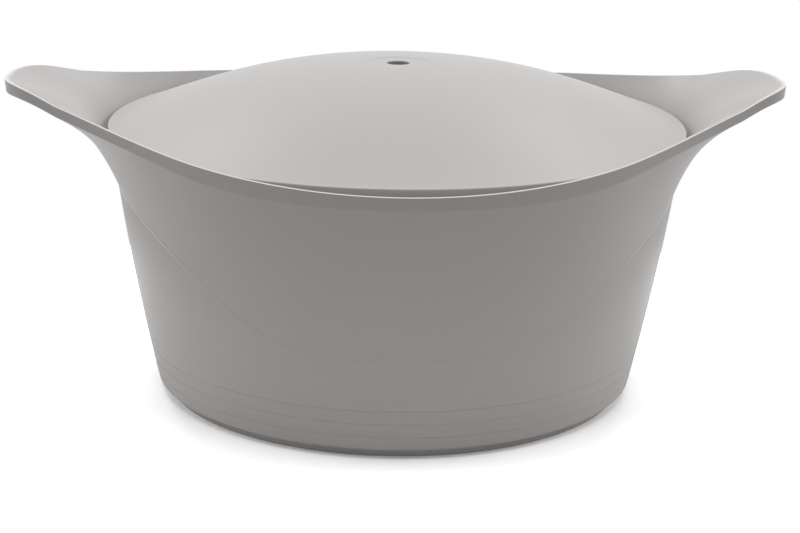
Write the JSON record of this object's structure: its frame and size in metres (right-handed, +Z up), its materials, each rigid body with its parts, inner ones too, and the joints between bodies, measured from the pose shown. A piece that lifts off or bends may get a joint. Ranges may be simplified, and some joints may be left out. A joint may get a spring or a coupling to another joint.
{
  "type": "casserole pot",
  "caption": "Cast casserole pot whose rim sweeps out into wing handles, with a lift-off domed lid that has a central steam vent.",
  "frame": {"origin": "centre of the standing ring, on the surface that the pot stands on", "axes": "+X along the wing handles, +Z up; +Y runs from the front of the picture to the back"},
  "size_m": [0.3304, 0.258, 0.1393],
  "materials": {
    "pot_coating": "matt warm grey non-stick coating, with a fine satin sheen, on cast aluminium",
    "lid_coating": "matt warm grey coating, as on the pot, on cast aluminium",
    "base_steel": "turned stainless steel, bare"
  },
  "bodies": {
    "pot": {"pot_body": "pot_coating", "induction_plate": "base_steel"},
    "lid": {"lid": "lid_coating"}
  },
  "joints": [
    {"name": "lid_lift", "type": "slide", "parent": "pot", "child": "lid", "axis": [0, 0, 1], "range_m": [0, 0.15]}
  ]
}
